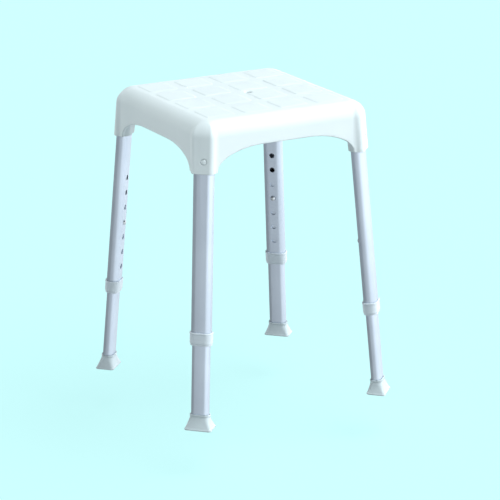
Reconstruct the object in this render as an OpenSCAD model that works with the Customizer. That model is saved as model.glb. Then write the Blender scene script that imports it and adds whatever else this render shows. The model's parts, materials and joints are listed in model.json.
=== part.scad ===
// Height-adjustable shower stool: a moulded seat on four splayed telescopic legs.
// Origin: on the floor, under the middle of the seat. +Z is up, and the front is towards -Y.

/* [Seat] */
// Height of the seat surface above the floor with the legs in their middle hole
seat_height = 480; // [470:1:490]
// Width and depth of the seat across the skirt
seat_width = 300; // [296:1:304]
// Radius of the seat's corners in plan
seat_corner_r = 30; // [24:1:34]
// Radius of the rounded edge between the top and the skirt
edge_r = 23.5; // [20:0.5:26]
// Thickness of the seat's top plate
plate_t = 5; // [4:0.5:7]
// Thickness of the skirt wall
skirt_t = 4; // [3:0.5:5]
// Height of the flat middle of each skirt arch above the socket mouths
arch_rise = 35.5; // [30:0.5:40]
// Half of the arch's width at the socket mouths
arch_half = 121; // [118:1:124]
// Half of the arch's straight middle
arch_flat_half = 38; // [30:1:70]

/* [Seat surface] */
// Raised tiles along each side
tile_count = 4; // [2:1:5]
// Distance between tile centres
tile_pitch = 64; // [60:1:66]
// Width of one tile
tile_size = 51; // [44:1:54]
// Radius of a tile's corners
tile_r = 6; // [3:1:10]
// Height of the tiles above the plate
tile_rise = 0.8; // [0.5:0.1:2]
// Diameter of the drain hole
drain_d = 12; // [8:0.5:13]
// Place of the drain hole across the seat
drain_x = 15; // [10:1:20]
// Place of the drain hole from front to back
drain_y = -3; // [-8:1:8]
// Thickness of the ribs under the plate
rib_t = 2.5; // [2:0.5:4]
// Depth of the ribs below the plate
rib_depth = 16; // [8:1:20]

/* [Legs] */
// Distance from the middle of the stool to the middle of each sole
foot_reach = 230; // [227:1:233]
// Angle between each leg and the vertical
splay = 5.25; // [5:0.05:5.5]
// Height of the socket mouths above the floor
socket_height = 400; // [396:1:404]
// Width of the upper tube, square to the leg's outward direction
upper_w = 32; // [31:0.5:33]
// Depth of the upper tube, along the leg's outward direction
upper_d = 20.3; // [19.8:0.1:21]
// Corner radius of the upper tube
upper_r = 8.5; // [8:0.5:9]
// Wall of both tubes
tube_wall = 1.5; // [1.2:0.1:1.6]
// Room between the lower tube and the upper one, on each side
slide_gap = 0.4; // [0.3:0.05:0.6]
// Room between the upper tube and its socket or collar, on each side
seat_gap = 0.1; // [0.05:0.05:0.2]

/* [Height adjustment] */
// Number of adjustment holes in each leg
hole_count = 7; // [5:2:7]
// Distance between adjustment holes
hole_pitch = 25.4; // [25:0.1:26]
// Diameter of the adjustment holes
hole_d = 8.6; // [8.4:0.1:9]
// Diameter of the adjusting buttons
button_d = 7.8; // [7:0.1:7.8]
// How far an adjusting button stands out of its hole
button_proud = 3.2; // [2.5:0.1:3.5]
// Distance along the leg from the floor to the adjusting button
button_level = 253; // [248:1:256]

/* [Socket buttons] */
// Diameter of the round heads that hold the legs in the seat
socket_button_d = 9.2; // [8.4:0.1:9.2]
// Diameter of the hole in the socket for that head
socket_hole_d = 9.6; // [9.6:0.1:10.4]
// How far the head stands out of the socket
socket_button_proud = 0.8; // [0.5:0.1:2]
// Distance from the middle of the socket's face to the button, sideways
socket_button_across = 2.5; // [0:0.5:2.5]
// Distance along the leg from the floor to the socket button
socket_button_level = 420; // [416:1:422]

/* [Collars and feet] */
// Distance along the leg from the floor to the bottom of the collar
collar_level = 133; // [130:0.5:138]
// Height of the collar
collar_h = 20.5; // [18:0.5:24]
// Wall of the collar around the upper tube
collar_wall = 1.8; // [1.5:0.1:2.2]
// Height of the foot
foot_h = 23; // [22:1:28]
// Width of the sole
sole_w = 42; // [40:1:44]
// Depth of the sole
sole_d = 29.5; // [28:0.5:32]
// Wall of the foot around the lower tube, at its rim
foot_wall = 1.5; // [1.2:0.1:2.5]

/* [Hidden] */
CORNERS = ["front_left", "front_right", "rear_right", "rear_left"];
LEG_PIECES = ["upper_tube", "collar", "socket_button", "socket_spring", "lower_tube", "guide_plug",
    "adjust_button", "adjust_spring", "foot", "foot_washer"];

$fn = 48;
first_corner_angle = 225; // outward direction of the front left leg
cut = 1; // how far a cutting shape runs past what it cuts
far = 400; // longer than any span of the stool
arc_step = 15; // degrees between the points of an arc that is drawn as a polygon

// Sections of the leg, each as [depth, width, corner radius], from the outside inwards
function grown(section, by) = [section[0] + 2 * by, section[1] + 2 * by, section[2] + by];
upper_outer = [upper_d, upper_w, upper_r];
upper_inner = grown(upper_outer, -tube_wall);
lower_outer = grown(upper_inner, -slide_gap);
lower_inner = grown(lower_outer, -tube_wall);
pocket = grown(upper_outer, seat_gap);
socket_wall = 2.9;
socket_r = 5; // corner radius of the sockets' outside
socket_outer = [pocket[0] + 2 * socket_wall, pocket[1] + 2 * socket_wall, socket_r];
collar_outer = grown(pocket, collar_wall);

// Seat levels and the widths that follow from them
plate_top = seat_height - tile_rise;
plate_bottom = plate_top - plate_t;
tube_top = 456; // distance along the leg from the floor to the top of the upper tube
inner_half = seat_width / 2 - skirt_t;
// Half of the width over the leg sockets at a height, and a little more so that only their tops are cut
function pillar_half(z) = (foot_reach - z * tan(splay)) / sqrt(2) + 21.5;

// Leg levels, all along the leg from the floor
hole_span = (hole_count - 1) / 2 * hole_pitch;
ledge_h = 4; // thickness of the collar's lower lip, on which the upper tube ends
upper_bottom = collar_level + ledge_h;
lower_top = button_level + 37;
washer_level = 6;
washer_t = 1.5;
lower_bottom = washer_level + washer_t;

// Feet
foot_lip_h = 2.5; // height of the bands round the rim and the sole
rim_lip_out = 0.45;
sole_lip_out = 0.75;
sole_corner_r = 4;
sole_excess = 5; // how far the sole runs below the floor before it is cut level

// Spring buttons
flange_t = 1; // the collar that keeps a button inside its tube
flange_gap = 0.35; // room on each side of that collar
strip_t = 0.8;
strip_w = 9;

module rounded_rect(section) {
    r = section[2];
    square([section[0] - 2 * r, section[1]], center = true);
    square([section[0], section[1] - 2 * r], center = true);
    for (x = [-1, 1], y = [-1, 1])
        translate([x * (section[0] / 2 - r), y * (section[1] / 2 - r)]) circle(r);
}

// A straight length of a section, along the leg
module bar(section, from, to) {
    translate([0, 0, from]) linear_extrude(to - from) rounded_rect(section);
}

// Places its children on a leg: local X points outward, Y across, and Z up along the leg from the floor
module on_leg(i) {
    rotate([0, 0, first_corner_angle + 90 * i])
        translate([foot_reach, 0, 0])
            rotate([0, -splay, 0]) children();
}

// A round bar along the leg's outward direction
module cross_bar(d, level, from, to, across = 0) {
    translate([from, across, level]) rotate([0, 90, 0]) cylinder(h = to - from, d = d);
}

// ---- Seat ----

// Upright cut through the seat, with half-width bottom_half at the mouths and upper corners of radius r
module edge_profile(bottom_half, top_half, top, r) {
    arc = [for (a = [0 : arc_step : 90]) [top_half - r + r * cos(a), top - r + r * sin(a)]];
    right = concat([[bottom_half, socket_height - cut]], arc);
    left = [for (k = [len(right) - 1 : -1 : 0]) [-right[k][0], right[k][1]]];
    polygon(concat(right, left));
}

module both_ways() {
    for (turn = [0, 90]) rotate([0, 0, turn]) children();
}

module side_profiles(bottom_half, top_half, top, r = edge_r) {
    intersection_for (turn = [0, 90])
        rotate([0, 0, turn])
            rotate([90, 0, 0])
                linear_extrude(far, center = true) edge_profile(bottom_half, top_half, top, r);
}

module seat_envelope() {
    side_profiles(seat_width / 2 + 1, seat_width / 2, plate_top);
}

module arch_outline() {
    curve = [for (a = [0 : arc_step : 90])
        [arch_flat_half + (arch_half - arch_flat_half) * cos(a), socket_height + arch_rise * sin(a)]];
    right = concat([[arch_half, socket_height - 2 * cut]], curve);
    left = [for (k = [len(right) - 1 : -1 : 0]) [-right[k][0], right[k][1]]];
    polygon(concat(right, left));
}

module skirt_shell() {
    difference() {
        intersection() {
            seat_envelope();
            translate([0, 0, socket_height])
                linear_extrude(seat_height - socket_height)
                    rounded_rect([seat_width + 2, seat_width + 2, seat_corner_r]);
        }
        intersection() {
            side_profiles(inner_half, inner_half, plate_bottom, edge_r - skirt_t);
            translate([0, 0, socket_height - cut])
                linear_extrude(seat_height - socket_height)
                    rounded_rect([2 * inner_half, 2 * inner_half, seat_corner_r - skirt_t]);
        }
        both_ways()
            rotate([90, 0, 0]) linear_extrude(far, center = true) arch_outline();
    }
}

module sockets() {
    intersection() {
        for (i = [0 : 3]) on_leg(i) bar(socket_outer, socket_height - 10, seat_height + 10);
        side_profiles(pillar_half(socket_height - cut), pillar_half(plate_top), plate_top);
        translate([-far / 2, -far / 2, socket_height]) cube([far, far, plate_top - socket_height]);
    }
}

module ribs() {
    start = (tile_count - 1) / 2 * tile_pitch;
    reach = inner_half + skirt_t / 2;
    intersection() {
        seat_envelope();
        both_ways()
            for (k = [0 : tile_count - 1])
                translate([-start + k * tile_pitch - rib_t / 2, -reach, plate_bottom - rib_depth])
                    cube([rib_t, 2 * reach, rib_depth + cut]);
    }
}

module tiles() {
    start = (tile_count - 1) / 2 * tile_pitch;
    for (column = [0 : tile_count - 1], row = [0 : tile_count - 1])
        translate([-start + column * tile_pitch, -start + row * tile_pitch, plate_top - cut])
            linear_extrude(tile_rise + cut) rounded_rect([tile_size, tile_size, tile_r]);
}

module seat() {
    color("white") difference() {
        union() {
            skirt_shell();
            sockets();
            ribs();
            tiles();
        }
        for (i = [0 : 3]) on_leg(i) {
            bar(pocket, socket_height - 20, tube_top + seat_gap);
            cross_bar(socket_hole_d, socket_button_level, 0, socket_outer[0], socket_button_across);
        }
        translate([drain_x, drain_y, plate_bottom - cut]) cylinder(h = plate_t + 3 * cut, d = drain_d);
    }
}

// ---- Legs ----

module tube(outer, inner, from, to) {
    difference() {
        bar(outer, from, to);
        bar(inner, from - cut, to + cut);
    }
}

module upper_tube(i) {
    color("lightsteelblue") on_leg(i) difference() {
        tube(upper_outer, upper_inner, upper_bottom, tube_top);
        for (k = [0 : hole_count - 1])
            cross_bar(hole_d, button_level - hole_span + k * hole_pitch, -upper_d, 0);
        cross_bar(socket_hole_d, socket_button_level, 0, upper_d, socket_button_across);
    }
}

module collar(i) {
    lip_h = 2.5;
    lip_out = 0.5;
    top = collar_level + collar_h;
    step_h = 3; // the drawn-in lower end
    step_in = 0.8;
    color("white") on_leg(i) difference() {
        union() {
            bar(grown(collar_outer, -step_in), collar_level, collar_level + step_h + cut);
            bar(collar_outer, collar_level + step_h, top);
            bar(grown(collar_outer, lip_out), top - lip_h, top);
        }
        bar(pocket, upper_bottom, top + cut);
        bar(upper_inner, collar_level - cut, upper_bottom + cut);
    }
}

module lower_tube(i) {
    color("lightsteelblue") on_leg(i) difference() {
        tube(lower_outer, lower_inner, lower_bottom, lower_top);
        cross_bar(hole_d, button_level, -upper_d, 0);
    }
}

module guide_plug(i) {
    cap_h = 3;
    stem_h = 14;
    stem_wall = 2;
    stem = grown(lower_inner, -seat_gap);
    color("dimgray") on_leg(i) difference() {
        union() {
            bar(lower_outer, lower_top, lower_top + cap_h);
            bar(stem, lower_top - stem_h, lower_top + cut);
        }
        bar(grown(stem, -stem_wall), lower_top - stem_h - cut, lower_top);
    }
}

// Side view of the foot: half-width rim at the top, opening in a hollow curve to half-width sole
module flare_profile(rim, sole) {
    steps = 6;
    hollow = 1.4; // how strongly the curve keeps to the leg before it opens
    right = [for (k = [0 : steps])
        [rim + (sole - rim) * pow(k / steps, hollow), foot_h - (foot_h - foot_lip_h) * k / steps]];
    left = [for (k = [steps : -1 : 0]) [-right[k][0], right[k][1]]];
    polygon(concat(right, [[sole, -sole_excess], [-sole, -sole_excess]], left));
}

// The sole, before its underside is cut level with the floor
module sole_block(out) {
    section = [sole_d + 2 * out, sole_w + 2 * out, sole_corner_r + out];
    bar(section, -sole_excess, foot_lip_h);
}

// Two ring grooves in the underside of a sole
module sole_grooves() {
    groove_w = 2;
    groove_depth = 1.2;
    groove_r = 2;
    for (inset = [2.5, 7])
        translate([0, 0, -cut]) linear_extrude(groove_depth + cut) difference() {
            rounded_rect(grown([sole_d, sole_w, groove_r + inset], -inset));
            rounded_rect(grown([sole_d, sole_w, groove_r + inset + groove_w], -inset - groove_w));
        }
}

module foot(i) {
    rim = grown(lower_outer, foot_wall);
    color("gainsboro") difference() {
        on_leg(i) union() {
            intersection() {
                rotate([90, 0, 0]) linear_extrude(sole_w, center = true)
                    flare_profile(rim[0] / 2, sole_d / 2);
                rotate([90, 0, 90]) linear_extrude(sole_d, center = true)
                    flare_profile(rim[1] / 2, sole_w / 2);
                bar([sole_d, sole_w, sole_corner_r], -sole_excess, foot_h);
            }
            sole_block(sole_lip_out);
            bar(grown(rim, rim_lip_out), foot_h - foot_lip_h, foot_h);
        }
        translate([-far, -far, -2 * far]) cube([2 * far, 2 * far, 2 * far]);
        on_leg(i) bar(grown(lower_outer, seat_gap), washer_level, foot_h + cut);
        rotate([0, 0, first_corner_angle + 90 * i]) translate([foot_reach, 0, 0]) sole_grooves();
    }
}

module foot_washer(i) {
    color("silver") on_leg(i) bar(lower_outer, washer_level, lower_bottom);
}

// ---- Spring buttons ----

// Button along +X: a shank kept in by a flange behind the wall, and domed at its tip
module spring_button(d, level, wall_face, tip) {
    base = wall_face - flange_gap - flange_t;
    length = tip - base;
    flange_r = d / 2 + 1.5;
    dome_h = d / 4;
    dome = [for (a = [0 : arc_step : 90]) [d / 2 * cos(a), length - dome_h + dome_h * sin(a)]];
    translate([base, 0, level]) rotate([0, 90, 0]) rotate_extrude()
        polygon(concat([[0, 0], [flange_r, 0], [flange_r, flange_t], [d / 2, flange_t]], dome));
}

// U-shaped strip behind a button, with its free arm at x = front and its other arm at x = back
module strip_spring(level, front, back) {
    bend_r = (front - back) / 2;
    bend_level = level + 14;
    arm_end = level - 10;
    translate([0, strip_w / 2, 0]) rotate([90, 0, 0]) linear_extrude(strip_w) {
        for (x = [back, front - strip_t])
            translate([x, arm_end]) square([strip_t, bend_level - arm_end]);
        translate([(front + back) / 2, bend_level]) difference() {
            circle(bend_r);
            circle(bend_r - strip_t);
            translate([-far, -2 * far]) square(2 * far);
        }
    }
}

module socket_button(i) {
    color("white") on_leg(i) translate([0, socket_button_across, 0])
        spring_button(socket_button_d, socket_button_level, upper_inner[0] / 2,
            socket_outer[0] / 2 + socket_button_proud);
}

module socket_spring(i) {
    color("gray") on_leg(i) translate([0, socket_button_across, 0])
        strip_spring(socket_button_level, upper_inner[0] / 2 - 2 * flange_gap - flange_t,
            -upper_inner[0] / 2 + 0.1);
}

module adjust_button(i) {
    color("silver") on_leg(i) mirror([1, 0, 0])
        spring_button(button_d, button_level, lower_inner[0] / 2, upper_d / 2 + button_proud);
}

module adjust_spring(i) {
    color("gray") on_leg(i) mirror([1, 0, 0])
        strip_spring(button_level, lower_inner[0] / 2 - 2 * flange_gap - flange_t,
            -lower_inner[0] / 2 + 0.1);
}

module leg_piece(piece, i) {
    if (piece == "upper_tube") upper_tube(i);
    if (piece == "collar") collar(i);
    if (piece == "socket_button") socket_button(i);
    if (piece == "socket_spring") socket_spring(i);
    if (piece == "lower_tube") lower_tube(i);
    if (piece == "guide_plug") guide_plug(i);
    if (piece == "adjust_button") adjust_button(i);
    if (piece == "adjust_spring") adjust_spring(i);
    if (piece == "foot") foot(i);
    if (piece == "foot_washer") foot_washer(i);
}

seat();
for (piece = LEG_PIECES, i = [0 : 3])
    leg_piece(piece, i);
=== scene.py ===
"""Shower stool: the visual model and a plain studio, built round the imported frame."""
import json
import math

import bpy
import numpy as np
from mathutils import Matrix, Vector


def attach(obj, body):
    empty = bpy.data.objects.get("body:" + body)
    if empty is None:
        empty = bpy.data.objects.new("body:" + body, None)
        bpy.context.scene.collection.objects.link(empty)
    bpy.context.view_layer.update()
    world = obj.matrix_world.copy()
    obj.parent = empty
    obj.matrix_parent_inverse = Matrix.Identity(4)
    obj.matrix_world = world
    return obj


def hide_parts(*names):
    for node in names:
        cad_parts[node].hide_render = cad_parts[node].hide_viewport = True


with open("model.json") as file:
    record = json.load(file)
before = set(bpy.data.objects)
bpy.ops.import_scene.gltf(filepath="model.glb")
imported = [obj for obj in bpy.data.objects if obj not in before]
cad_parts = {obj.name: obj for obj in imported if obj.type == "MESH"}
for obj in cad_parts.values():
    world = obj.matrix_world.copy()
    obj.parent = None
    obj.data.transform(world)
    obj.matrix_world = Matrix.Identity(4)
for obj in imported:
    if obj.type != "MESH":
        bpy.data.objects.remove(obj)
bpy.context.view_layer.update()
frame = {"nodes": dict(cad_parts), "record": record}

MM = 0.001
RECORD = frame["record"]
# Where each leg stands, in degrees from +X, and the sides of a leg, of which the first looks at the middle
CORNERS = {"front_left": 225, "front_right": 315, "rear_right": 45, "rear_left": 135}
INWARD, OUTWARD = -1, 1


# ---- Sizes in millimetres, as in the CAD unless a comment says otherwise ----

SEAT_TOP = 480.0
TILE_RISE = 0.8
PLATE_TOP = SEAT_TOP - TILE_RISE
PLATE_T = 5
PLATE_BOTTOM = PLATE_TOP - PLATE_T
SOCKET_BOTTOM = 400.0
SEAT_HALF = 150.0
SEAT_DRAFT = 1.0
SEAT_CORNER_R = 30.0
EDGE_R = 23.5
SKIRT_T = 4.0
ARCH_FLAT_HALF = 38.0
FRONT_ARCH = (121.0, 35.5)    # half width and rise of the front and rear arches
SIDE_ARCH = (116.0, 33.5)     # the left and right ones, smaller than the CAD's, as the photo shows
TILE_PITCH = 64.0
TILE_COUNT = 4
TILE_HALF = 25.5
TILE_R = 6.0
TILE_FLANK_X = 3.5            # width of the slopes at a tile's left and right, guessed
TILE_FLANK_Y = 5.5            # the same at its front and rear, where the photo shows no line
RIB_HALF = 1.25
RIB_DEPTH = 16.0
RIB_GAP = 2.5                 # the ribs stay this far inside the seat's outer faces
DRAIN = (15.0, -3.0)
DRAIN_R = 6.0
DRAIN_END = SOCKET_BOTTOM + 35    # the hole's cutter ends here, in the open space under the ribs

# How far from their edges the seat's faces run smoothly into each other
SOCKET_BLEND = 4
RIM_BLEND = 1.5
POCKET_BLEND = 0.8
BUTTON_HOLE_BLEND = 1.2
DRAIN_BLEND = 2
TOP_FADE = 0.006    # over the tubes, the sockets' plan shrinks by this times the height squared

# The seat's grid lines in bands of (start, stop, spacing), close together where the surface bends
PLAN_BANDS = [(0, 5, 5), (5, 14, 1.3), (14, 30, 5), (30, 34, 1.0), (34, 50, 5), (50, 58, 1.2),
              (58, 70, 4), (70, 78, 1.2), (78, 94, 5), (94, 98, 1.0), (98, 113, 4), (113, 160.5, 0.96)]
LEVEL_BANDS = [(398.4, 402.4, 0.8), (402.4, 441, 1.8), (441, 456, 3), (456, 460, 1.2), (460, 472, 2),
               (472, 482, 0.7)]
SEAT_TRIANGLES = 170000
SETTLE_ROUNDS = 4       # how often the mesh's vertices move onto the true surface
SETTLE_REACH = 0.6      # how far one of those moves goes at most, where the distance is true
MIN_SLOPE_SQUARED = 0.25
PROBE = 0.05            # half the span over which a slope is measured

SOLE = next(m["pos_m"] for m in RECORD["mounts"] if m["name"] == "sole_front_left")
SLIDE_JOINT = next(j for j in RECORD["behaviour"]["joints"] if j["name"] == "leg_slide_front_left")
SLIDE_AXIS = SLIDE_JOINT["axis"]
SLIDE_REACH = SLIDE_JOINT["range_m"][1]
FOOT_REACH = math.hypot(SOLE[0], SOLE[1]) / MM
SPLAY = math.asin(math.hypot(SLIDE_AXIS[0], SLIDE_AXIS[1]))

# Every section of a leg is a rounded rectangle round the same flat core, so a radius gives its size
CORE_D, CORE_W = 3.3, 15.0
UPPER_R = 8.5
TUBE_WALL = 1.5
TUBE_RIM_R = 0.3
SLIDE_GAP = 0.4
POCKET_GAP = 0.1
UPPER_INNER_R = UPPER_R - TUBE_WALL
LOWER_R = UPPER_INNER_R - SLIDE_GAP
LOWER_INNER_R = LOWER_R - TUBE_WALL
POCKET_R = UPPER_R + POCKET_GAP
SOCKET_WALL = 2.9
SOCKET_CORNER_R = 8.0    # rounder than the CAD's, as the photo shows
SOCKET_HALF_D = CORE_D / 2 + POCKET_R + SOCKET_WALL
SOCKET_HALF_W = CORE_W / 2 + POCKET_R + SOCKET_WALL

# Levels are measured along a leg from the floor that the stool stands on
TUBE_TOP = 456.0
COLLAR_LEVEL = 133.0
COLLAR_H = 20.5
COLLAR_WALL = 1.8
COLLAR_R = POCKET_R + COLLAR_WALL
COLLAR_NECK = 0.9        # how far the foot of the collar is drawn in
COLLAR_LIP = 0.5         # how far its top rim stands out
LEDGE_H = 4.0
UPPER_BOTTOM = COLLAR_LEVEL + LEDGE_H
WASHER_TOP = 7.5

BUTTON_LEVEL = 253.0
BUTTON_R = 3.9
BUTTON_PROUD = 3.2
HOLE_R = 4.3
HOLE_PITCH = 25.4
HOLE_STEPS = range(-3, 4)
HOLE_RIM_R = 0.25
LOWER_TOP = 290.0
SOCKET_BUTTON_LEVEL = 420.0
SOCKET_BUTTON_R = 4.6
SOCKET_BUTTON_PROUD = 0.8
SOCKET_BUTTON_ACROSS = 2.5    # how far it sits to one side of the middle of the face
SOCKET_HOLE_R = 4.8
FLANGE_WIDER = 1.5            # the flange behind a button is wider than the button by this all round
FLANGE_T = 1.0
FLANGE_GAP = 0.35

FOOT_H = 23.0
FOOT_WALL = 1.5
FOOT_INSIDE_LEVEL = 6.0
SOLE_W, SOLE_D = 42.0, 29.5
SOLE_R = 4.2
FLARE_TOP = FOOT_H - 3.2
FLARE_DROP = FOOT_H - 5.6
FLARE_STEPS = 8
FLARE_CURVE = 1.4             # over 1, the foot spreads mostly near the floor
GROOVE_INSETS = (2.5, 7.0)


# ---- Mesh helpers ----

def add_mesh(name, vertices, faces, matrix=None):
    """A new smooth object from vertices in millimetres, placed by matrix in the mesh itself."""
    points = [Vector(v) * MM for v in vertices]
    if matrix is not None:
        points = [matrix @ p for p in points]
    mesh = bpy.data.meshes.new(name)
    mesh.from_pydata(points, [], faces)
    mesh.validate()
    mesh.update()
    piece = bpy.data.objects.new(name, mesh)
    bpy.context.scene.collection.objects.link(piece)
    mesh.shade_smooth()
    return piece


def leg_matrix(corner):
    """From a leg's own axes to the frame: X outward, Y across, Z up along the leg from the floor."""
    return (Matrix.Rotation(math.radians(CORNERS[corner]), 4, "Z")
            @ Matrix.Translation((FOOT_REACH * MM, 0, 0))
            @ Matrix.Rotation(-SPLAY, 4, "Y"))


def circle(steps):
    """The (cosine, sine) of equal steps round a circle."""
    turns = [2 * math.pi * i / steps for i in range(steps)]
    return [(math.cos(a), math.sin(a)) for a in turns]


def rounded_ring(half_d, half_w, r, steps):
    """Points round a rounded rectangle, counterclockwise seen from above, as (x, y)."""
    ring = []
    for quarter, (sx, sy) in enumerate(((1, 1), (-1, 1), (-1, -1), (1, -1))):
        for step in range(steps + 1):
            a = math.pi / 2 * (quarter + step / steps)
            ring.append((sx * (half_d - r) + r * math.cos(a), sy * (half_w - r) + r * math.sin(a)))
    return ring


def eased(points, reaches):
    """A closed outline with each corner replaced by a curve that reaches that far along its edges."""
    steps = 3
    out = []
    for k, (point, reach) in enumerate(zip(points, reaches)):
        corner = Vector(point)
        if not reach:
            out.append(tuple(corner))
            continue
        before = Vector(points[k - 1]) - corner
        after = Vector(points[(k + 1) % len(points)]) - corner
        a = corner + before.normalized() * min(reach, before.length / 2)
        b = corner + after.normalized() * min(reach, after.length / 2)
        for step in range(steps + 1):
            t = step / steps
            out.append(tuple(a * (1 - t) ** 2 + corner * 2 * t * (1 - t) + b * t ** 2))
    return out


def loft(rings, closed=False):
    """(vertices, faces) of the skin over a closed loop of rings, or over a bar and its two ends."""
    count = len(rings[0])
    vertices = [p for ring in rings for p in ring]
    faces = []
    for k in range(len(rings) if closed else len(rings) - 1):
        low, high = k * count, (k + 1) % len(rings) * count
        for i in range(count):
            j = (i + 1) % count
            faces.append((low + i, low + j, high + j, high + i))
    if not closed:
        last = (len(rings) - 1) * count
        faces.append(tuple(reversed(range(count))))
        faces.append(tuple(last + i for i in range(count)))
    return vertices, faces


def sleeve(outline):
    """A hollow leg section: outline is a closed loop of (radius, level), outside going up first."""
    steps = 8
    rings = []
    for r, level in outline:
        ring = rounded_ring(CORE_D / 2 + r, CORE_W / 2 + r, r, steps)
        rings.append([(x, y, level) for x, y in ring])
    return loft(rings, closed=True)


def cutter(name, corner, side, half_d, level, r, across=0.0):
    """A round bar through one wall of a leg, for cutting a hole."""
    steps = 40
    ends = (0, side * half_d * 2)
    if side == INWARD:
        ends = ends[::-1]
    rings = [[(x, across + r * c, level + r * s) for c, s in circle(steps)] for x in ends]
    return add_mesh(name, *loft(rings), leg_matrix(corner))


def apply_modifiers(piece):
    """Gives the piece the mesh that its modifiers make, and takes them off."""
    graph = bpy.context.evaluated_depsgraph_get()
    mesh = bpy.data.meshes.new_from_object(piece.evaluated_get(graph), depsgraph=graph)
    old = piece.data
    piece.modifiers.clear()
    piece.data = mesh
    bpy.data.meshes.remove(old)


def cut_holes(piece, cutters):
    """Cuts the holes, removes their cutters and rounds the sharp edges a little."""
    for k, tool in enumerate(cutters):
        cut = piece.modifiers.new(f"hole_{k}", "BOOLEAN")
        cut.operation = "DIFFERENCE"
        cut.solver = "EXACT"
        cut.object = tool
    bpy.context.view_layer.update()
    apply_modifiers(piece)
    for tool in cutters:
        bpy.data.objects.remove(tool)
    rim = piece.modifiers.new("rim", "BEVEL")
    rim.width = HOLE_RIM_R * MM
    rim.segments = 2
    rim.limit_method = "ANGLE"
    rim.angle_limit = math.radians(60)
    rim.harden_normals = True
    apply_modifiers(piece)


def place(piece, body, node, material):
    """Gives the piece its material, and puts it on a body in the place of a CAD node."""
    piece.data.materials.append(material)
    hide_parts(node)
    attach(piece, body)


# ---- The seat, as a signed distance that is turned into a mesh ----

def smooth_min(a, b, k):
    """The lower of two distances, with their meeting edge filled to a curve over k."""
    h = np.maximum(k - np.abs(a - b), 0) / k
    return np.minimum(a, b) - h * h * k / 4


def smooth_max(a, b, k):
    """The higher of two distances, with their meeting edge rounded over k."""
    return -smooth_min(-a, -b, k)


def rounded_rect(x, y, half_x, half_y, r):
    """Distance to a rounded rectangle in plan."""
    qx, qy = np.abs(x) - (half_x - r), np.abs(y) - (half_y - r)
    return np.hypot(np.maximum(qx, 0), np.maximum(qy, 0)) + np.minimum(np.maximum(qx, qy), 0) - r


def rounded_over(plan, height, r):
    """Distance to an upright body of that plan, under height = 0, with its top edge rounded."""
    a, b = plan + r, height + r
    return np.minimum(np.maximum(a, b), 0) + np.hypot(np.maximum(a, 0), np.maximum(b, 0)) - r


def arch(across, z, half, rise):
    """Distance to the opening under one side's skirt: an ellipse with a flat middle."""
    curve = half - ARCH_FLAT_HALF
    x = np.maximum(np.abs(across) - ARCH_FLAT_HALF, 0) / curve
    y = (z - SOCKET_BOTTOM) / rise
    size = np.maximum(np.hypot(x, y), 1e-6)
    slope = np.hypot(x / curve, y / rise) / size
    return (size - 1) / np.maximum(slope, 1 / half)


def from_tile_middle(v):
    """How far v is past the middle of its nearest tile, along one axis."""
    shifted = v + (TILE_COUNT / 2 - 0.5) * TILE_PITCH
    nearest = np.clip(np.round(shifted / TILE_PITCH), 0, TILE_COUNT - 1)
    return shifted - nearest * TILE_PITCH


def tile_height(x, y):
    """Height of the tiles above the plate, with soft flanks."""
    dx, dy = from_tile_middle(x), from_tile_middle(y)
    edge = rounded_rect(dx, dy, TILE_HALF, TILE_HALF, TILE_R)
    flank = np.where(np.abs(dx) > np.abs(dy), TILE_FLANK_X, TILE_FLANK_Y)
    t = np.clip(-edge / flank, 0, 1)
    return TILE_RISE * t * t * (3 - 2 * t)


def rib_grid(x, y, z):
    """Distance to the stiffening ribs, which run under the middles of the tiles."""
    wall_x = np.abs(from_tile_middle(x)) - RIB_HALF
    wall_y = np.abs(from_tile_middle(y)) - RIB_HALF
    return np.maximum(np.minimum(wall_x, wall_y), PLATE_BOTTOM - RIB_DEPTH - z)


def moulding_distance(x, y, z, socket_plan):
    """Distance to the seat without its pockets and holes: a hollow block, sockets, arches and ribs."""
    ax, ay = np.abs(x), np.abs(y)
    half = SEAT_HALF + SEAT_DRAFT * (PLATE_TOP - z) / (PLATE_TOP - SOCKET_BOTTOM)
    block_plan = rounded_rect(ax, ay, half, half, SEAT_CORNER_R)
    pillar_plan = socket_plan + TOP_FADE * np.maximum(z - TUBE_TOP, 0) ** 2
    plan = smooth_min(block_plan, pillar_plan, SOCKET_BLEND)
    solid = rounded_over(plan, z - PLATE_TOP - tile_height(x, y), EDGE_R)

    hollow = rounded_over(block_plan + SKIRT_T, z - PLATE_BOTTOM, EDGE_R - SKIRT_T)
    hollow = smooth_max(hollow, -socket_plan, SOCKET_BLEND)
    body = smooth_max(solid, -hollow, RIM_BLEND)
    for along, size in ((ax, FRONT_ARCH), (ay, SIDE_ARCH)):
        opening = smooth_max(arch(along, z, *size), -socket_plan, SOCKET_BLEND)
        body = smooth_max(body, -opening, RIM_BLEND)
    ribs = np.maximum(rib_grid(x, y, z), solid + RIB_GAP)
    body = smooth_min(body, ribs, RIM_BLEND)
    return smooth_max(body, SOCKET_BOTTOM - z, RIM_BLEND)


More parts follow.
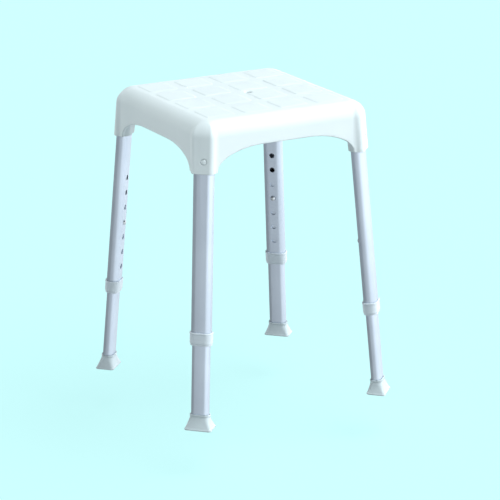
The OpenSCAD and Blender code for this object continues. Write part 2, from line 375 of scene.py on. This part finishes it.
def seat_distance(x, y, z):
    """Signed distance to the seat in millimetres, negative inside."""
    ax, ay = np.abs(x), np.abs(y)
    outward, across = (ax + ay) / math.sqrt(2), (ax - ay) / math.sqrt(2)
    depth = (outward - FOOT_REACH) * math.cos(SPLAY) + z * math.sin(SPLAY)
    level = z * math.cos(SPLAY) - (outward - FOOT_REACH) * math.sin(SPLAY)
    socket_plan = rounded_rect(depth, across, SOCKET_HALF_D, SOCKET_HALF_W, SOCKET_CORNER_R)
    body = moulding_distance(x, y, z, socket_plan)

    pocket = rounded_rect(depth, across, CORE_D / 2 + POCKET_R, CORE_W / 2 + POCKET_R, POCKET_R)
    body = smooth_max(body, -np.maximum(pocket, level - TUBE_TOP), POCKET_BLEND)
    from_button = -across * np.sign(x * y) - SOCKET_BUTTON_ACROSS
    button_hole = np.hypot(from_button, level - SOCKET_BUTTON_LEVEL) - SOCKET_HOLE_R
    body = smooth_max(body, -np.maximum(button_hole, -depth), BUTTON_HOLE_BLEND)
    drain = np.hypot(x - DRAIN[0], y - DRAIN[1]) - DRAIN_R
    return smooth_max(body, -np.maximum(drain, DRAIN_END - z), DRAIN_BLEND)


def graded(bands):
    """Grid lines from bands of (start, stop, spacing), evenly spaced in each band."""
    lines = []
    for start, stop, spacing in bands:
        count = max(1, round((stop - start) / spacing))
        lines.extend(np.linspace(start, stop, count, endpoint=False))
    return np.array(lines + [bands[-1][1]])


def seat_grid():
    """The grid lines along X, Y and Z."""
    right = graded(PLAN_BANDS)
    across = np.concatenate((-right[:0:-1], right))
    return across, across, graded(LEVEL_BANDS)


def crossed_edges(field, axis):
    """Grid edges along an axis where the sign changes: index, share of the way, which start inside."""
    low = np.take(field, range(field.shape[axis] - 1), axis)
    high = np.take(field, range(1, field.shape[axis]), axis)
    index = np.nonzero((low < 0) != (high < 0))
    share = low[index] / (low[index] - high[index])
    return index, share, low[index] < 0


def neighbour(index, axes, steps):
    """The cells one step or none along two axes from the cells of that index."""
    cell = [v.copy() for v in index]
    for axis, step in zip(axes, steps):
        cell[axis] += step
    return cell


def sum_crossings(edges, lines, shape):
    """The sum of the crossing points on the edges of each cell, and their number."""
    total, hits = np.zeros(shape + (3,)), np.zeros(shape)
    for axis, (index, share, _) in enumerate(edges):
        points = np.stack([lines[a][index[a]] for a in range(3)], 1)
        points[:, axis] += share * (lines[axis][index[axis] + 1] - lines[axis][index[axis]])
        others = [a for a in range(3) if a != axis]
        for steps in ((-1, -1), (-1, 0), (0, -1), (0, 0)):
            cell = neighbour(index, others, steps)
            inside = np.all([(cell[a] >= 0) & (cell[a] < shape[a]) for a in others], 0)
            where = tuple(v[inside] for v in cell)
            np.add.at(total, where, points[inside])
            np.add.at(hits, where, 1)
    return total, hits


def quads_round(edges, number):
    """A quad through the four cells round each crossed edge, facing outwards, as vertex numbers."""
    quads = []
    for axis, (index, _, starts_inside) in enumerate(edges):
        others = ((axis + 1) % 3, (axis + 2) % 3)
        cells = [neighbour(index, others, steps) for steps in ((-1, -1), (0, -1), (0, 0), (-1, 0))]
        quad = np.stack([number[tuple(cell)] for cell in cells], 1)
        quad[~starts_inside] = quad[~starts_inside][:, ::-1]
        quads.append(quad)
    return np.concatenate(quads)


def surface_net(distance, lines):
    """Vertices and quads where distance changes sign on a grid, moved onto the surface itself."""
    field = distance(*np.meshgrid(*lines, indexing="ij"))
    edges = [crossed_edges(field, axis) for axis in range(3)]
    total, hits = sum_crossings(edges, lines, tuple(n - 1 for n in field.shape))
    used = hits > 0
    number = np.full(hits.shape, -1)
    number[used] = np.arange(used.sum())
    vertices = total[used] / hits[used][:, None]
    for _ in range(SETTLE_ROUNDS):
        gap, slope = distance(*vertices.T), gradient(distance, vertices)
        size = np.maximum((slope ** 2).sum(1), MIN_SLOPE_SQUARED)
        vertices -= np.clip(gap / size, -SETTLE_REACH, SETTLE_REACH)[:, None] * slope
    return vertices, quads_round(edges, number)


def gradient(distance, points):
    """The slope of distance at each point along X, Y and Z."""
    out = np.empty_like(points)
    for axis in range(3):
        step = np.zeros(3)
        step[axis] = PROBE
        out[:, axis] = (distance(*(points + step).T) - distance(*(points - step).T)) / (2 * PROBE)
    return out


def set_normals(piece, distance):
    """Shades the mesh with the true normals of the surface that it was made from."""
    count = len(piece.data.vertices)
    points = np.empty(count * 3)
    piece.data.vertices.foreach_get("co", points)
    normals = gradient(distance, points.reshape(-1, 3) / MM)
    normals /= np.maximum(np.linalg.norm(normals, axis=1), 1e-9)[:, None]
    piece.data.normals_split_custom_set_from_vertices([tuple(n) for n in normals])


def make_seat():
    vertices, quads = surface_net(seat_distance, seat_grid())
    piece = add_mesh("seat_shell", vertices, quads.tolist())
    thin = piece.modifiers.new("thin", "DECIMATE")
    thin.ratio = SEAT_TRIANGLES / (2 * len(quads))
    bpy.context.view_layer.update()
    apply_modifiers(piece)
    set_normals(piece, seat_distance)
    place(piece, "seat_frame", "seat", SEAT_PLASTIC)


# ---- Materials ----

NOISE_SPAN = (0.3, 0.7)    # most of a noise texture's values lie between these
ALUMINIUM = ((0.60, 0.65, 0.74), (0.66, 0.71, 0.80))    # the darker and the lighter tone


def new_material(name):
    material = bpy.data.materials.new(name)
    material.use_nodes = True
    tree = material.node_tree
    return material, tree, tree.nodes["Principled BSDF"]


def object_coordinates(tree):
    for node in tree.nodes:
        if node.bl_idname == "ShaderNodeTexCoord":
            return node.outputs["Object"]
    return tree.nodes.new("ShaderNodeTexCoord").outputs["Object"]


def noise(tree, scale, detail, vector=None):
    """A noise pattern over the object, or over another vector."""
    node = tree.nodes.new("ShaderNodeTexNoise")
    node.inputs["Scale"].default_value = scale
    node.inputs["Detail"].default_value = detail
    if vector is None:
        vector = object_coordinates(tree)
    tree.links.new(vector, node.inputs["Vector"])
    return node.outputs["Fac"]


def ramp(tree, factor, span, low, high):
    """A colour that goes from low to high as factor goes over span."""
    node = tree.nodes.new("ShaderNodeValToRGB")
    for element, at, colour in zip(node.color_ramp.elements, span, (low, high)):
        element.position = at
        element.color = (*colour, 1)
    tree.links.new(factor, node.inputs["Fac"])
    return node.outputs["Color"]


def map_range(tree, value, span, low, high, interpolation="LINEAR"):
    """A number that goes from low to high as value goes over span."""
    node = tree.nodes.new("ShaderNodeMapRange")
    node.interpolation_type = interpolation
    node.inputs["From Min"].default_value, node.inputs["From Max"].default_value = span
    node.inputs["To Min"].default_value = low
    node.inputs["To Max"].default_value = high
    tree.links.new(value, node.inputs["Value"])
    return node.outputs["Result"]


def vary_colour(tree, shader, pattern, low, high):
    tree.links.new(ramp(tree, pattern, NOISE_SPAN, low, high), shader.inputs["Base Color"])


def vary_roughness(tree, shader, pattern, low, high):
    tree.links.new(map_range(tree, pattern, NOISE_SPAN, low, high), shader.inputs["Roughness"])


def bump(tree, shader, height, strength, distance):
    node = tree.nodes.new("ShaderNodeBump")
    node.inputs["Strength"].default_value = strength
    node.inputs["Distance"].default_value = distance
    tree.links.new(height, node.inputs["Height"])
    tree.links.new(node.outputs["Normal"], shader.inputs["Normal"])


def moulded_plastic(name, low, high, rough):
    """Satin moulded plastic: a fine spark-eroded grain, and slight changes of tone and gloss."""
    material, tree, shader = new_material(name)
    vary_colour(tree, shader, noise(tree, scale=9.0, detail=3.0), low, high)
    vary_roughness(tree, shader, noise(tree, scale=26.0, detail=3.0), rough - 0.04, rough + 0.05)
    shader.inputs["IOR"].default_value = 1.49
    shader.inputs["Subsurface Weight"].default_value = 0.06
    shader.inputs["Subsurface Radius"].default_value = (1.0, 1.0, 1.0)
    shader.inputs["Subsurface Scale"].default_value = 0.003
    bump(tree, shader, noise(tree, scale=900.0, detail=2.0), strength=0.10, distance=0.0002)
    return material


def satin_aluminium(name, corner):
    """Clear-anodised extrusion: fine die lines along the leg, and a soft change of tone."""
    material, tree, shader = new_material(name)
    turn = tree.nodes.new("ShaderNodeMapping")
    turn.vector_type = "TEXTURE"
    turn.inputs["Rotation"].default_value = leg_matrix(corner).to_euler()
    tree.links.new(object_coordinates(tree), turn.inputs["Vector"])
    stretch = tree.nodes.new("ShaderNodeMapping")
    stretch.inputs["Scale"].default_value = (1, 1, 0.012)
    tree.links.new(turn.outputs["Vector"], stretch.inputs["Vector"])
    lines = noise(tree, scale=1500.0, detail=3.0, vector=stretch.outputs["Vector"])
    vary_colour(tree, shader, noise(tree, scale=14.0, detail=3.0), *ALUMINIUM)
    vary_roughness(tree, shader, lines, 0.35, 0.43)
    shader.inputs["Metallic"].default_value = 0.95
    bump(tree, shader, lines, strength=0.12, distance=0.0001)
    return material


def steel(name, colour, rough):
    """Bright steel with a slight mottle."""
    material, tree, shader = new_material(name)
    darker = tuple(c * 0.9 for c in colour)
    vary_colour(tree, shader, noise(tree, scale=220.0, detail=3.0), darker, colour)
    vary_roughness(tree, shader, noise(tree, scale=500.0, detail=3.0), rough - 0.04, rough + 0.06)
    shader.inputs["Metallic"].default_value = 1.0
    bump(tree, shader, noise(tree, scale=900.0, detail=2.0), strength=0.05, distance=0.0001)
    return material


def rubber(name, low, high):
    """Matt rubber with a fine grain."""
    material, tree, shader = new_material(name)
    vary_colour(tree, shader, noise(tree, scale=60.0, detail=4.0), low, high)
    vary_roughness(tree, shader, noise(tree, scale=120.0, detail=3.0), 0.52, 0.66)
    bump(tree, shader, noise(tree, scale=1400.0, detail=2.0), strength=0.18, distance=0.0002)
    return material


SEAT_PLASTIC = moulded_plastic("seat_plastic", (0.80, 0.832, 0.855), (0.83, 0.857, 0.88), 0.36)
COLLAR_PLASTIC = moulded_plastic("collar_plastic", (0.69, 0.72, 0.78), (0.73, 0.76, 0.82), 0.40)
PLUG_PLASTIC = moulded_plastic("plug_plastic", (0.09, 0.095, 0.10), (0.12, 0.125, 0.13), 0.5)
BUTTON_STEEL = steel("button_steel", (0.62, 0.63, 0.65), 0.22)
SPRING_STEEL = steel("spring_steel", (0.38, 0.39, 0.41), 0.34)
WASHER_STEEL = steel("washer_steel", (0.46, 0.47, 0.50), 0.38)
FOOT_RUBBER = rubber("foot_rubber", (0.56, 0.60, 0.635), (0.61, 0.655, 0.69))


# ---- Legs ----

def straight_tube(name, corner, r, inner_r, bottom, top):
    """A tube along a leg, with eased rims."""
    outline = [(r, bottom), (r, top), (inner_r, top), (inner_r, bottom)]
    rims = [TUBE_RIM_R] * len(outline)
    return add_mesh(name, *sleeve(eased(outline, rims)), leg_matrix(corner))


def make_upper_tube(corner, metal):
    """The tube, with adjusting holes on its inward side and the socket button's hole outward."""
    piece = straight_tube(f"upper_tube_{corner}_outer", corner, UPPER_R, UPPER_INNER_R,
                          UPPER_BOTTOM, TUBE_TOP)
    half_d = CORE_D / 2 + UPPER_R
    holes = []
    for k in HOLE_STEPS:
        level = BUTTON_LEVEL + k * HOLE_PITCH
        holes.append(cutter(f"cut_{k}", corner, INWARD, half_d, level, HOLE_R))
    holes.append(cutter("cut_top", corner, OUTWARD, half_d, SOCKET_BUTTON_LEVEL, SOCKET_HOLE_R,
                        SOCKET_BUTTON_ACROSS))
    cut_holes(piece, holes)
    place(piece, "seat_frame", f"upper_tube_{corner}", metal)


def make_lower_tube(corner, metal):
    piece = straight_tube(f"lower_tube_{corner}_inner", corner, LOWER_R, LOWER_INNER_R,
                          WASHER_TOP, LOWER_TOP)
    hole = cutter("cut_button", corner, INWARD, CORE_D / 2 + LOWER_R, BUTTON_LEVEL, HOLE_R)
    cut_holes(piece, [hole])
    place(piece, f"leg_{corner}", f"lower_tube_{corner}", metal)


def make_collar(corner):
    bottom, ledge, top = COLLAR_LEVEL, COLLAR_LEVEL + LEDGE_H, COLLAR_LEVEL + COLLAR_H
    neck_r, lip_r = COLLAR_R - COLLAR_NECK, COLLAR_R + COLLAR_LIP
    # Up the outside and down the bore: each point has its radius, level and how far its corner is eased
    profile = [(neck_r, bottom, 0.8), (neck_r, bottom + 2.6, 0.4), (COLLAR_R, bottom + 3.6, 0.5),
               (COLLAR_R, top - 2.9, 0.2), (lip_r, top - 2.5, 0.3), (lip_r, top, 0.7),
               (POCKET_R, top, 0.3), (POCKET_R, ledge, 0), (UPPER_INNER_R, ledge, 0),
               (UPPER_INNER_R, bottom, 0.5)]
    outline = eased([(r, level) for r, level, _ in profile], [reach for _, _, reach in profile])
    piece = add_mesh(f"collar_{corner}_sleeve", *sleeve(outline), leg_matrix(corner))
    place(piece, "seat_frame", f"collar_{corner}", COLLAR_PLASTIC)


def foot_ring(t, r, out=0.0):
    """A ring between the foot's rim, t = 0, and its sole, t = 1, pushed out a little."""
    rim = LOWER_R + FOOT_WALL
    rim_half = (CORE_D / 2 + rim, CORE_W / 2 + rim)
    sole_half = (SOLE_D / 2, SOLE_W / 2)
    return tuple(a + (b - a) * t + out for a, b in zip(rim_half, sole_half)) + (r,)


def foot_rings():
    """Rings of the foot from inside its rim, over the outside and under the sole, to its middle.

    Each is (half depth, half width, corner radius), its level, and how far it is tilted from square
    to the leg, 0, to flat on the floor, 1.
    """
    rim = LOWER_R + FOOT_WALL
    wall = LOWER_R + 0.1
    bore = (CORE_D / 2 + wall, CORE_W / 2 + wall, wall)
    mouth = tuple(size + 0.4 for size in bore)
    rings = [(bore, FOOT_INSIDE_LEVEL, 0), (bore, FOOT_H - 0.4, 0), (mouth, FOOT_H, 0)]
    for out, below_top in ((0.1, 0), (0.35, 0.25), (0.45, 0.7), (0.45, 2.3), (0.2, 2.7)):
        rings.append((foot_ring(0, rim, out), FOOT_H - below_top, 0))
    for k in range(FLARE_STEPS + 1):
        t = k / FLARE_STEPS
        ring = foot_ring(t ** FLARE_CURVE, rim + (SOLE_R - rim) * t)
        rings.append((ring, FLARE_TOP - FLARE_DROP * t, t))
    for r, out, level in ((4.4, 0.5, 2.1), (4.5, 0.75, 1.6), (4.5, 0.75, 0.6), (4.3, 0.4, 0.0)):
        rings.append((foot_ring(1, r, out), level, 1))
    for inset in GROOVE_INSETS:
        for further_in, level in ((0, 0.0), (0.2, 1.2), (1.8, 1.2), (2.0, 0.0)):
            g = inset + further_in
            rings.append(((SOLE_D / 2 - g, SOLE_W / 2 - g, 2.0), level, 1))
    return rings


def make_foot(corner):
    steps = 4
    slant = math.tan(SPLAY)
    rings = []
    for (half_d, half_w, r), level, tilt in foot_rings():
        ring = rounded_ring(half_d, half_w, r, steps)
        rings.append([(x, y, level - x * slant * tilt) for x, y in ring])
    piece = add_mesh(f"foot_{corner}_ferrule", *loft(rings[::-1]), leg_matrix(corner))
    place(piece, f"leg_{corner}", f"foot_{corner}", FOOT_RUBBER)


def make_button(name, corner, side, level, wall, tip, r, across=0.0):
    """A domed button through one side of a leg, with its flange behind that wall, out to its tip."""
    steps = 32
    base = wall - FLANGE_GAP - FLANGE_T
    flange_r = r + FLANGE_WIDER
    dome_h = r / 2
    dome_base = tip - base - dome_h
    outline = [(flange_r, 0.0), (flange_r, FLANGE_T), (r, FLANGE_T)]
    for degrees in (0, 12, 25, 38, 51, 64, 77):
        a = math.radians(degrees)
        outline.append((r * math.cos(a), dome_base + dome_h * math.sin(a)))
    rings = []
    for radius, along in outline:
        x = side * (base + along)
        rings.append([(x, across + side * radius * c, level + radius * s) for c, s in circle(steps)])
    return add_mesh(name, *loft(rings), leg_matrix(corner))


def make_buttons(corner):
    adjust = make_button(f"adjust_button_{corner}_dome", corner, INWARD, BUTTON_LEVEL,
                         CORE_D / 2 + LOWER_INNER_R, CORE_D / 2 + UPPER_R + BUTTON_PROUD, BUTTON_R)
    place(adjust, f"adjust_button_body_{corner}", f"adjust_button_{corner}",
          BUTTON_STEEL)
    socket = make_button(f"socket_button_{corner}_dome", corner, OUTWARD, SOCKET_BUTTON_LEVEL,
                         CORE_D / 2 + UPPER_INNER_R, SOCKET_HALF_D + SOCKET_BUTTON_PROUD,
                         SOCKET_BUTTON_R, SOCKET_BUTTON_ACROSS)
    place(socket, f"socket_button_body_{corner}", f"socket_button_{corner}",
          SEAT_PLASTIC)


def dress(node, material):
    """A CAD node that keeps its own shape gets its material."""
    piece = frame["nodes"][node]
    piece.data.materials.clear()
    piece.data.materials.append(material)


make_seat()
for corner in CORNERS:
    metal = satin_aluminium(f"leg_aluminium_{corner}", corner)
    make_upper_tube(corner, metal)
    make_lower_tube(corner, metal)
    make_collar(corner)
    make_foot(corner)
    make_buttons(corner)
    dress(f"guide_plug_{corner}", PLUG_PLASTIC)
    dress(f"adjust_spring_{corner}", SPRING_STEEL)
    dress(f"socket_spring_{corner}", SPRING_STEEL)
    dress(f"foot_washer_{corner}", WASHER_STEEL)


# ---- Studio, in metres; azimuths are counted like the camera's, in degrees ----

FLOOR_HALF = 20.0
FLOOR_GAP = 0.0002
FLOOR_LEVEL = -SLIDE_REACH * math.cos(SPLAY) - FLOOR_GAP    # under the soles of legs at their longest
FLOOR_BASE = (0.15, 0.19, 0.19)
FLOOR_GLOW = (0.45, 0.78, 0.78)      # as the camera sees it
FLOOR_BOUNCE = (0.20, 0.22, 0.23)    # as it lights the stool

SKY_TINT = (0.88, 0.97, 1.0)
BACKDROP = (0.62, 0.98, 0.98)        # the world as the camera sees it
WHOLE = (0.0, 1.0)
SCREEN_AZIMUTH = 71
SCREEN_EDGE = (0.12, 0.41)           # how far a ray points to the screen at its edge and where it is full
SCREEN = (0.03, 1.72)                # strength away from the screen and at it
SWEEP_AZIMUTH = 45
SWEEP_EDGE = (-0.7, 0.55)
SWEEP = (0.53, 1.86)                 # the same just below the horizon
SWEEP_FOOT = (0.34, 1.14)            # the same further down
SWEEP_FADE = (-0.45, -0.02)          # the heights of a ray over which one passes into the next
HORIZON_FADE = (0.02, 0.35)

# Name, azimuth, elevation, strength, softness in degrees and colour of each soft distant light
SUNS = [("rim", -140, 9, 1.75, 30, (0.90, 1.0, 1.0)),
        ("key", 22, 62, 2.0, 50, (0.86, 1.0, 1.0)),
        ("side", 75, 10, 1.2, 40, (0.88, 1.0, 1.0))]

CAMERA_AZIMUTH, CAMERA_ELEVATION, CAMERA_ROLL = -28.7, 16.87, -0.4
CAMERA_DISTANCE = 3.85
CAMERA_TARGET = (0, 0, 0.25)
IMAGE_PX = 500
FOCAL_PX = 2397.0
TARGET_PX = (240.35, 231.8)          # where the target lies in the image, from its left and top
SENSOR_MM = 36


def to_sky(azimuth, elevation):
    """The unit vector to a point of the sky."""
    a, e = math.radians(azimuth), math.radians(elevation)
    return Vector((math.sin(a) * math.cos(e), -math.cos(a) * math.cos(e), math.sin(e)))


def towards(tree, vector, azimuth):
    """How far a vector points to an azimuth, from -1 to 1."""
    dot = tree.nodes.new("ShaderNodeVectorMath")
    dot.operation = "DOT_PRODUCT"
    dot.inputs[1].default_value = to_sky(azimuth, 0)
    tree.links.new(vector, dot.inputs[0])
    return dot.outputs["Value"]


def soft_step(tree, value, span, low, high):
    return map_range(tree, value, span, low, high, "SMOOTHSTEP")


def pick(tree, factor, low, high):
    """The value low where factor is 0, and high where it is 1; each is a socket or a number."""
    node = tree.nodes.new("ShaderNodeMix")
    tree.links.new(factor, node.inputs["Factor"])
    for name, value in (("A", low), ("B", high)):
        if isinstance(value, float):
            node.inputs[name].default_value = value
        else:
            tree.links.new(value, node.inputs[name])
    return node.outputs["Result"]


def seen_by_camera(tree):
    return tree.nodes.new("ShaderNodeLightPath").outputs["Is Camera Ray"]


def make_floor():
    """Pale paper that glows a little, and that the metal doesn't mirror."""
    half = FLOOR_HALF
    mesh = bpy.data.meshes.new("floor")
    corners = [(-half, -half), (half, -half), (half, half), (-half, half)]
    mesh.from_pydata([(x, y, FLOOR_LEVEL) for x, y in corners], [], [(0, 1, 2, 3)])
    floor = bpy.data.objects.new("floor", mesh)
    floor.visible_glossy = False
    bpy.context.scene.collection.objects.link(floor)
    material, tree, shader = new_material("floor_paper")
    glow = ramp(tree, seen_by_camera(tree), WHOLE, FLOOR_BOUNCE, FLOOR_GLOW)
    tree.links.new(glow, shader.inputs["Emission Color"])
    shader.inputs["Emission Strength"].default_value = 1.0
    shader.inputs["Base Color"].default_value = (*FLOOR_BASE, 1)
    shader.inputs["Roughness"].default_value = 0.9
    shader.inputs["Specular IOR Level"].default_value = 0.1
    mesh.materials.append(material)


def make_world():
    """A soft screen on the right, a sweep below that darkens downwards, and a plain backdrop."""
    world = bpy.data.worlds.new("studio")
    world.use_nodes = True
    tree = world.node_tree
    background = tree.nodes["Background"]
    direction = tree.nodes.new("ShaderNodeTexCoord").outputs["Generated"]
    parts = tree.nodes.new("ShaderNodeSeparateXYZ")
    tree.links.new(direction, parts.inputs["Vector"])
    height = parts.outputs["Z"]
    screen = soft_step(tree, towards(tree, direction, SCREEN_AZIMUTH), SCREEN_EDGE, *SCREEN)
    near = soft_step(tree, towards(tree, direction, SWEEP_AZIMUTH), SWEEP_EDGE, *SWEEP)
    deep = soft_step(tree, towards(tree, direction, SWEEP_AZIMUTH), SWEEP_EDGE, *SWEEP_FOOT)
    lower = pick(tree, soft_step(tree, height, SWEEP_FADE, 0.0, 1.0), deep, near)
    light = pick(tree, soft_step(tree, height, HORIZON_FADE, 0.0, 1.0), lower, screen)
    seen = seen_by_camera(tree)
    tree.links.new(pick(tree, seen, light, 1.0), background.inputs["Strength"])
    tree.links.new(ramp(tree, seen, WHOLE, SKY_TINT, BACKDROP), background.inputs["Color"])
    bpy.context.scene.world = world


def add_sun(name, azimuth, elevation, strength, softness, colour):
    lamp = bpy.data.lights.new(name, "SUN")
    lamp.energy = strength
    lamp.angle = math.radians(softness)
    lamp.color = colour
    piece = bpy.data.objects.new(name, lamp)
    piece.rotation_mode = "QUATERNION"
    piece.rotation_quaternion = to_sky(azimuth, elevation).to_track_quat("Z", "Y")
    piece.visible_glossy = False
    bpy.context.scene.collection.objects.link(piece)


def make_camera():
    """The camera's place round the stool: a long lens a few metres away, a little above the seat."""
    back = to_sky(CAMERA_AZIMUTH, CAMERA_ELEVATION)
    data = bpy.data.cameras.new("camera")
    data.sensor_width = SENSOR_MM
    data.lens = FOCAL_PX / IMAGE_PX * data.sensor_width
    data.clip_start, data.clip_end = 0.1, 100
    camera = bpy.data.objects.new("camera", data)
    camera.location = Vector(CAMERA_TARGET) + back * CAMERA_DISTANCE
    camera.rotation_mode = "QUATERNION"
    aim = back.to_track_quat("Z", "Y").to_matrix()
    roll = Matrix.Rotation(math.radians(CAMERA_ROLL), 3, "Z")
    right, down = (at - IMAGE_PX / 2 for at in TARGET_PX)
    nudge = (Matrix.Rotation(math.atan(right / FOCAL_PX), 3, "Y")
             @ Matrix.Rotation(math.atan(down / FOCAL_PX), 3, "X"))
    camera.rotation_quaternion = (aim @ roll @ nudge).to_quaternion()
    bpy.context.scene.collection.objects.link(camera)
    bpy.context.scene.camera = camera


make_floor()
make_world()
for sun in SUNS:
    add_sun(*sun)
make_camera()
bpy.context.scene.view_settings.view_transform = "Standard"
